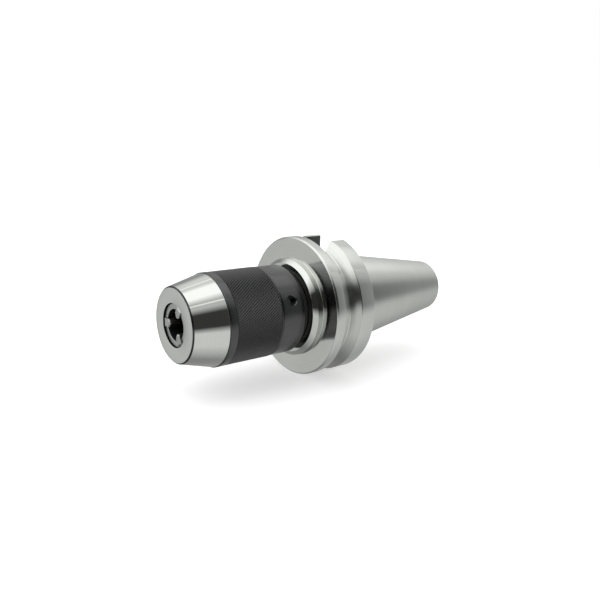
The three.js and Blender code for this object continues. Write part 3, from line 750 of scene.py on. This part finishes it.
class DRILLCHUCK_OT_collar(ChuckOperator, bpy.types.Operator):
    """Build the rear collar with its spanner holes, and the dust seal behind it."""

    bl_idname = "drill_chuck.collar"
    bl_label = "Rear collar and dust seal"

    def execute(self, context):
        s = settings().sleeve
        low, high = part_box("rear_collar")
        body = revolve("rear_collar_fine", self.profile(s, low.x, high), s.segments)
        station = high.x - s.hole_setback
        cutters = [self.hole_cutter(s, station, high.y, angle) for angle in SPANNER_HOLE_ANGLES]
        body = carve(body, cutters)
        material = black_oxide("collar_black_oxide", settings().finish.oxide_roughness).material
        add_piece("rear_collar_fine", body, "sleeve", "black_oxide", material, "rear_collar")
        self.seal(s)
        return {"FINISHED"}

    def profile(self, s, spigot_front, high):
        """The collar's outline: rim, spigot, bore and the shoulder behind the bearing."""
        rear, rim = high.x, high.y
        front = rear - s.collar_reach
        shoulder = rear - s.collar_shoulder
        spigot = s.collar_bore + s.spigot_wall
        f, bevel = s.fillet, s.bevel
        wiper_low, wiper_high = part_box("wiper_ring")
        neck = wiper_high.y - s.wiper_depth
        groove = wiper_high.y + GAP
        groove_low, groove_high = wiper_low.x - GAP, wiper_high.x + GAP
        return rounded([
            (spigot_front, s.collar_bore, f), (spigot_front, spigot, f), (front, spigot),
            (front, rim - bevel, f), (front + bevel, rim, f), (rear - bevel, rim, f),
            (rear, rim - bevel, f), (rear, neck, f), (groove_high, neck), (groove_high, groove),
            (groove_low, groove), (groove_low, neck), (shoulder, neck, f),
            (shoulder, s.collar_bore, f)])

    def hole_cutter(self, s, station, rim, angle):
        """A blind hole with a bevelled mouth: circles stacked along the outward direction."""
        floor = rim - s.hole_depth
        heights = [floor, rim - s.hole_bevel - 0.1 * MM, rim + 1 * MM]
        radii = [s.hole_radius, s.hole_radius, s.hole_radius + s.hole_bevel + 1.1 * MM]
        turn = np.linspace(0, 2 * pi, 48, endpoint=False)
        sections = np.empty((3, 48, 3))
        sections[..., 0] = station + np.array(radii)[:, None] * np.cos(turn)
        sections[..., 1] = np.array(radii)[:, None] * np.sin(turn)
        sections[..., 2] = np.array(heights)[:, None]
        return loft("hole_cutter", turn_about_x(sections, angle))

    def seal(self, s):
        """The seal's outline is a plain ring with one rounded lip at each edge."""
        low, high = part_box("dust_seal")
        inner = settings().shank.neck_radius + GAP
        lip = 0.7 * MM
        ring = rounded([(low.x, inner, lip / 2), (low.x, high.y, lip), (high.x, high.y, lip),
                        (high.x, inner, lip / 2)], 6)
        add_piece("dust_seal_fine", revolve("dust_seal_fine", ring, s.segments), "root",
                  "black_rubber", rubber(), "dust_seal")


class DRILLCHUCK_OT_sleeve(ChuckOperator, bpy.types.Operator):
    """Build the grip sleeve with a real diamond knurl between two smooth edges."""

    bl_idname = "drill_chuck.sleeve"
    bl_label = "Knurled sleeve"

    def execute(self, context):
        s = settings().sleeve
        mesh = self.surface(s)
        material = knurl_finish(s)
        add_piece("knurled_sleeve_fine", mesh, "sleeve", "black_knurl", material, "knurled_sleeve",
                  sharp=24)
        return {"FINISHED"}

    def surface(self, s):
        """The sleeve as one grid of rings, whose radius is lowered by the knurl in between.

        The knurl's height is the lower of two triangle waves that run along the two helices, the
        second one shallower, cut off at the top: h = min(1, 1.15 min(tri(u + v), 1 - share (1 -
        tri(u - v)))), where u counts diamonds round the sleeve and v along it. Each ring's radius
        is R - depth (1 - h).
        """
        low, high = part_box("knurled_sleeve")
        radius, front, rear = high.y, low.x, high.x
        per_cell = 4
        columns = s.knurl_count * per_cell
        rows = s.knurl_rows * per_cell + 1
        start = front + s.band + 0.3 * MM
        stop = rear - s.rim
        u = np.arange(columns) / per_cell
        v = np.arange(rows) / per_cell
        cell = 2 * (u[None, :] - 0.25)
        turn = 2 * v[:, None]
        across = 1 - s.cross_depth * (1 - triangle_wave(cell - turn))
        height = np.minimum(1, 1.15 * np.minimum(triangle_wave(cell + turn), across))
        knurl_radius = radius - s.knurl_depth * (1 - height)
        knurl_x = np.linspace(start, stop, rows)
        ahead, behind = self.plain_rings(s, front, rear, radius, start, stop)
        angle = np.linspace(0, 2 * pi, columns, endpoint=False)
        x = np.concatenate([ahead[:, 0], knurl_x, behind[:, 0]])
        plain_ahead = np.repeat(ahead[:, 1:2], columns, axis=1)
        plain_behind = np.repeat(behind[:, 1:2], columns, axis=1)
        r = np.concatenate([plain_ahead, knurl_radius, plain_behind])
        x_grid = np.repeat(x[:, None], columns, 1)
        points = np.stack([x_grid, r * np.cos(angle), r * np.sin(angle)], -1)
        flip = np.zeros((len(x), columns), bool)
        first = len(ahead)
        i, j = np.meshgrid(np.arange(rows), np.arange(columns), indexing="ij")
        flip[first:first + rows] = ((i // 2 + (j + 1) // 2) % 2).astype(bool)
        return grid_mesh("knurled_sleeve_fine", points, flip_diagonals=flip)

    def plain_rings(self, s, front, rear, radius, start, stop):
        """Outline points ahead of the knurl, from the bore's rear edge, and behind it."""
        bore = radius - s.wall
        shoulder_radius = s.shoulder_radius
        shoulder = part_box("jaw_guide")[1].x + GAP
        rear_bore = s.collar_bore + s.spigot_wall + GAP
        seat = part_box("rear_collar")[0].x - GAP
        low_radius = radius - s.knurl_depth
        f, bevel = s.fillet, s.bevel
        loop = [(rear, rear_bore, f), (seat, rear_bore), (seat, shoulder_radius, f),
                (shoulder, shoulder_radius, f), (shoulder, bore), (front, bore, f),
                (front, radius - bevel, f), (front + bevel, radius, f),
                (start - 0.5 * MM, radius, 0.15 * MM), (start - 0.25 * MM, low_radius, 0),
                (stop + 0.05 * MM, low_radius, 0), (stop + 0.25 * MM, radius - 0.1 * MM, 0.1 * MM),
                (rear - 0.4 * MM, radius - 0.1 * MM, 0.2 * MM), (rear, radius - bevel, 0.2 * MM)]
        points = rounded(loop)
        cut = int(np.argmax(np.isclose(points[:, 0], stop + 0.05 * MM)))
        return points[:cut], points[cut:]


class DRILLCHUCK_OT_nose(ChuckOperator, bpy.types.Operator):
    """Build the nose hood and the slotted jaw guide inside it."""

    bl_idname = "drill_chuck.nose"
    bl_label = "Nose hood and jaw guide"

    def execute(self, context):
        s = settings().nose
        add_piece("nose_hood_fine", revolve("nose_hood_fine", self.hood(s), s.segments), "sleeve",
                  "bright_steel", hood_steel(), "nose_hood")
        guide = revolve("jaw_guide_fine", self.guide(s), 192)
        guide = carve(guide, [self.jaw_slot(s, phase) for phase in JAW_PHASES])
        add_piece("jaw_guide_fine", guide, "sleeve", "guide_steel", guide_steel(), "jaw_guide")
        return {"FINISHED"}

    def taper(self, s, x):
        """Radius of the hood's inner taper at station x."""
        return s.mouth_radius + (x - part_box("nose_hood")[0].x) * tan(s.jaw_angle)

    def hood(self, s):
        """The hood's outline: face, black bevel, cone, spigot and inner taper."""
        low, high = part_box("nose_hood")
        nose, rear, shoulder_radius = low.x, high.x, high.y
        shoulder = rear - s.spigot_length
        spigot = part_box("jaw_guide")[1].y
        f = 0.2 * MM
        return rounded([
            (nose, s.mouth_radius, 0.25 * MM), (nose, s.face_radius, 0.08 * MM),
            (nose + 0.9 * s.bevel, s.face_radius + s.bevel, 0.12 * MM),
            (shoulder, shoulder_radius, f), (shoulder, spigot), (rear, spigot, f),
            (rear, self.taper(s, rear), f)])

    def guide(self, s):
        """The guide's outline: a slotted cone, its clamped flange and the spindle's bore."""
        low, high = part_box("jaw_guide")
        front, rear, rim = low.x, high.x, high.y
        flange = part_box("nose_hood")[1].x + GAP
        head_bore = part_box("drive_spindle")[1].y + s.head_play
        head_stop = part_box("drive_spindle")[0].x - s.head_travel
        f = 0.3 * MM
        return rounded([
            (front, s.guide_bore, f), (front, self.taper(s, front) - s.guide_play, f),
            (flange, self.taper(s, flange) - s.guide_play, f), (flange, rim, f), (rear, rim, f),
            (rear, head_bore, f), (head_stop, head_bore, f), (head_stop, s.guide_bore, f)])

    def jaw_slot(self, s, phase):
        """A straight slot from the axis outwards: a prism along X."""
        low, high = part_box("jaw_guide")
        half, top = s.jaw_width / 2 + GAP, high.y - s.slot_rim
        outline = np.array([(-half, 0), (half, 0), (half, top), (-half, top)])
        through = prism(outline, low.x - 1 * MM, high.x + 1 * MM)
        return loft("jaw_slot", turn_about_x(through, phase))


class DRILLCHUCK_OT_jaws(ChuckOperator, bpy.types.Operator):
    """Build the three jaws with their vee grip edges and tee heads."""

    bl_idname = "drill_chuck.jaws"
    bl_label = "Jaws"

    def execute(self, context):
        material = plain_metal("jaw_ground_steel", settings().finish.jaw, 0.34)
        for number, phase in enumerate(JAW_PHASES, 1):
            name = f"jaw_{number}"
            plate = loft(name + "_fine", turn_about_x(self.plate(), phase))
            tee = loft(name + "_tee", turn_about_x(self.tee(), phase))
            jaw = carve(plate, [tee], "UNION")
            add_piece(name + "_fine", jaw, name, "jaw_steel", material, name)
        return {"FINISHED"}

    def plate(self):
        """Cross-sections of a jaw standing on +Z, one for each station along X.

        A section is a bar with a rounded grip edge. Its inner reach follows the grip edge and then
        the tail, and its outer reach rises along the hood's taper to the tail's own reach. Near
        the front, a is the share of the chamfer's length still to go: the inner side draws back
        by chamfer (1 - sqrt(1 - a^2)), a quarter circle, and the back falls in a straight line.
        """
        s = settings().nose
        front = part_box("jaw_1")[0].x
        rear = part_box("jaw_1")[1].x
        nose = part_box("nose_hood")[0].x
        bend = nose + (s.tail_outer + s.guide_play - s.mouth_radius) / tan(s.jaw_angle)
        grip_end = front + s.jaw_grip
        tail = grip_end + s.tail_inner - s.jaw_reach
        ease = np.array([0, 0.12, 0.3, 0.55, 0.8, 1.0]) * s.jaw_chamfer
        x = np.concatenate([front + ease, [bend, grip_end, tail, rear]])
        x.sort()
        inner = np.interp(x, [grip_end, tail], [s.jaw_reach, s.tail_inner])
        slope = s.mouth_radius - s.guide_play + (x - nose) * tan(s.jaw_angle)
        outer = np.minimum(slope, s.tail_outer)
        ahead = np.clip(1 - (x - front) / s.jaw_chamfer, 0, 1)
        pull = s.jaw_chamfer * (1 - np.sqrt(1 - ahead ** 2))
        return self.sections(s, x, inner + pull, outer - ahead * s.back_chamfer)

    def sections(self, s, x, inner, outer):
        """Outlines across X: straight sides, an eased back, and a blunt vee for the grip edge.

        With w the height of the vee's flank at y, (|y| - flat / 2) / tan(lean), the edge's height
        is (w + sqrt(w^2 + ease^2)) / 2, which is a vee with its three corners rounded.
        """
        half = s.jaw_width / 2
        ease = s.tip_ease
        edge_y = np.linspace(-half, half, 19)
        flank = (np.abs(edge_y) - s.tip_flat / 2) / tan(s.tip_lean)
        edge_z = (flank + np.sqrt(flank ** 2 + ease ** 2)) / 2
        back_y = np.array([1, 1 - ease / half, ease / half - 1, -1]) * half
        back_drop = np.array([ease, 0, 0, ease])
        sections = np.empty((len(x), len(edge_y) + len(back_y), 3))
        sections[..., 0] = x[:, None]
        sections[..., 1] = np.concatenate([edge_y, back_y])
        sections[:, :len(edge_y), 2] = inner[:, None] + edge_z
        sections[:, len(edge_y):, 2] = outer[:, None] - back_drop
        return sections

    def tee(self):
        """The tee head across the tail's end: a plain block."""
        s = settings().nose
        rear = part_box("jaw_1")[1].x
        y, low, high = s.tee_width / 2, s.tail_inner, s.tee_reach
        outline = np.array([(-y, low), (y, low), (y, high), (-y, high)])
        return prism(outline, rear - s.tee_length, rear)


class DRILLCHUCK_OT_bearing(ChuckOperator, bpy.types.Operator):
    """Build the bearing balls, and finish the hidden pieces that keep their CAD shape."""

    bl_idname = "drill_chuck.bearing"
    bl_label = "Bearing and hidden pieces"

    def execute(self, context):
        finish = settings().finish
        polished = plain_metal("bearing_polished_steel", (0.72, 0.73, 0.74), 0.08)
        number = 1
        while f"bearing_ball_{number:02d}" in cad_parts:
            name = f"bearing_ball_{number:02d}"
            add_piece(name + "_fine", self.ball(name), "cage", "bearing_steel", polished, name)
            number += 1
        hidden = plain_metal("hidden_turned_steel", finish.inner, 0.35)
        looks = {
            "core_body": hidden,
            "drive_spindle": hidden,
            "core_lock_pin_1": hidden,
            "core_lock_pin_2": hidden,
            "bearing_race_front": polished,
            "bearing_race_rear": polished,
            "ball_cage": plain_metal("cage_turned_brass", finish.brass, 0.3),
            "wiper_ring": rubber(),
        }
        for name, material in looks.items():
            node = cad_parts[name]
            node.data.materials.clear()
            node.data.materials.append(material)
        return {"FINISHED"}

    def ball(self, name):
        """A sphere: (r cos p, r sin p cos a, r sin p sin a) about the CAD ball's middle."""
        low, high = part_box(name)
        centre = (low + high) / 2
        radius = (high.x - low.x) / 2
        polar = np.linspace(0, pi, 17)
        angle = np.linspace(0, 2 * pi, 32, endpoint=False)
        points = np.empty((17, 32, 3))
        points[..., 0] = np.cos(polar)[:, None]
        points[..., 1] = np.sin(polar)[:, None] * np.cos(angle)
        points[..., 2] = np.sin(polar)[:, None] * np.sin(angle)
        return grid_mesh(name + "_fine", points * radius + np.array(centre), wrap_rows=False)


# ---------------- stage

class DRILLCHUCK_OT_stage(ChuckOperator, bpy.types.Operator):
    """Set the pale floor, the soft studio light and the camera."""

    bl_idname = "drill_chuck.stage"
    bl_label = "Stage"

    def execute(self, context):
        self.camera(context)
        self.floor(context)
        self.tent(context)
        context.scene.view_settings.view_transform = "Standard"
        return {"FINISHED"}

    def camera(self, context):
        """Looks at the chuck from its nose end, a little above and to one side.

        The camera's back points to (cos e cos a, cos e sin a, sin e), with a the azimuth and e the
        elevation. Its level right is (-sin a, cos a, 0), and the roll turns it towards its up.
        """
        s = settings().stage
        back = Vector((cos(s.elevation) * cos(s.azimuth), cos(s.elevation) * sin(s.azimuth),
                       sin(s.elevation)))
        level = Vector((-sin(s.azimuth), cos(s.azimuth), 0))
        right = level * cos(s.roll) + back.cross(level) * sin(s.roll)
        data = bpy.data.cameras.new("camera")
        data.lens = s.lens
        data.sensor_width = 36
        data.clip_end = 50
        camera = bpy.data.objects.new("camera", data)
        turn = Matrix((right, back.cross(right), back)).transposed()
        camera.matrix_world = Matrix.Translation(s.eye) @ turn.to_4x4()
        context.scene.collection.objects.link(camera)
        context.scene.camera = camera

    def floor(self, context):
        """A wide plain floor just under the flange."""
        size = settings().stage.floor_size / 2
        level = CAD_BOX[0][2] - settings().stage.floor_drop
        mesh = bpy.data.meshes.new("floor")
        corners = [(-size, -size, level), (size, -size, level), (size, size, level),
                   (-size, size, level)]
        mesh.from_pydata(corners, [], [(0, 1, 2, 3)])
        look = Look("floor_paper")
        _, _, point = look.place()
        cloud = look.noise(point, 3.0)
        pale = settings().stage.floor_colour
        look.surface(Base_Color=look.mix(cloud, solid_colour(pale, 0.99), solid_colour(pale, 1.01)),
                     Roughness=0.8, Emission_Color=(1, 1, 1, 1),
                     Emission_Strength=settings().stage.floor_glow)
        mesh.materials.append(look.material)
        floor = bpy.data.objects.new("floor", mesh)
        floor.visible_glossy = False
        context.scene.collection.objects.link(floor)

    def tent(self, context):
        """A light tent: brightness depends on the angle round the tool axis, and on the end.

        The panels round the sides fade into those of each end as the direction turns along X.
        """
        world = bpy.data.worlds.new("tent")
        context.scene.world = world
        light = Nodes(world)
        light.tree.nodes.clear()
        direction = light.node("ShaderNodeTexCoord").outputs["Generated"]
        parts = light.node("ShaderNodeSeparateXYZ", {0: direction}).outputs
        turn = light.node("ShaderNodeCombineXYZ", {0: parts[1], 1: parts[2]}).outputs[0]
        sweep = light.node("ShaderNodeTexGradient", {0: turn}, gradient_type="RADIAL").outputs["Fac"]
        sides = self.level_ramp(light, sweep, SIDE_PANELS, STRIP_ANGLES)
        nose = self.level_ramp(light, sweep, NOSE_PANELS)
        taper_end = light.span(parts[0], 0.3, 0.85, 0.0, TAPER_END_SHARE)
        nose_end = light.span(parts[0], -0.15, -0.45, 0.0, 1.0)
        level = light.mix(taper_end, sides, solid_colour([TAPER_END_LEVEL] * 3))
        level = light.mix(nose_end, level, nose)
        lit = light.node("ShaderNodeBackground", {"Color": level, "Strength": RIG_STRENGTH})
        plain = light.node("ShaderNodeBackground", {"Color": (1, 1, 1, 1)})
        seen = light.node("ShaderNodeLightPath").outputs["Is Camera Ray"]
        chosen = light.node("ShaderNodeMixShader",
                            {0: seen, 1: lit.outputs[0], 2: plain.outputs[0]})
        light.node("ShaderNodeOutputWorld", {0: chosen.outputs[0]})

    def level_ramp(self, light, sweep, panels, strips=()):
        """A grey ramp over the turn from -Y, which is its seam, through +Y at its middle.

        Each panel gives a stop at its first and last angle. A strip light is a peak that rises
        from the panels' own level and falls back to it.
        """
        corners = [(angle, level) for first, last, level in panels for angle in (first, last)]
        angles, levels = zip(*corners)
        for strip in strips:
            for edge in (strip - STRIP_HALF_WIDTH, strip + STRIP_HALF_WIDTH):
                corners.append((edge, float(np.interp(edge, angles, levels))))
            corners.append((strip, STRIP_LEVEL))
        stops = sorted((((angle / 360) + 0.5) % 1, level) for angle, level in corners)
        ramp = light.node("ShaderNodeValToRGB", {"Fac": sweep})
        elements = ramp.color_ramp.elements
        while len(elements) < len(stops):
            elements.new(0.5)
        for element, (position, level) in zip(elements, stops):
            element.position = position
            element.color = (level, level, level, 1)
        return ramp.outputs[0]


# ---------------- panel and registration

class DRILLCHUCK_PT_panel(bpy.types.Panel):
    """Lists the stages of the build and the sizes that they follow."""

    bl_idname = "DRILLCHUCK_PT_panel"
    bl_label = "Drill chuck"
    bl_space_type = "VIEW_3D"
    bl_region_type = "UI"
    bl_category = "Drill chuck"

    def draw(self, context):
        for operator in OPERATORS:
            self.layout.operator(operator.bl_idname)
        for group in ("shank", "sleeve", "nose", "finish", "stage"):
            box = self.layout.box()
            box.label(text=group.capitalize())
            values = getattr(context.scene.drill_chuck, group)
            for name in values.__annotations__:
                box.prop(values, name)


OPERATORS = (DRILLCHUCK_OT_stage, DRILLCHUCK_OT_shank, DRILLCHUCK_OT_collar, DRILLCHUCK_OT_sleeve,
             DRILLCHUCK_OT_nose, DRILLCHUCK_OT_jaws, DRILLCHUCK_OT_bearing)
GROUPS = (ShankSizes, SleeveSizes, NoseSizes, Finishes, StageSettings, ChuckSettings)


def register():
    for item in (*GROUPS, *OPERATORS, DRILLCHUCK_PT_panel):
        bpy.utils.register_class(item)
    bpy.types.Scene.drill_chuck = PointerProperty(type=ChuckSettings)


def unregister():
    del bpy.types.Scene.drill_chuck
    for item in reversed((*GROUPS, *OPERATORS, DRILLCHUCK_PT_panel)):
        bpy.utils.unregister_class(item)


def main():
    """Builds the whole scene."""
    register()
    for operator in OPERATORS:
        group, action = operator.bl_idname.split(".")
        getattr(getattr(bpy.ops, group), action)()


if __name__ == "__main__":
    main()
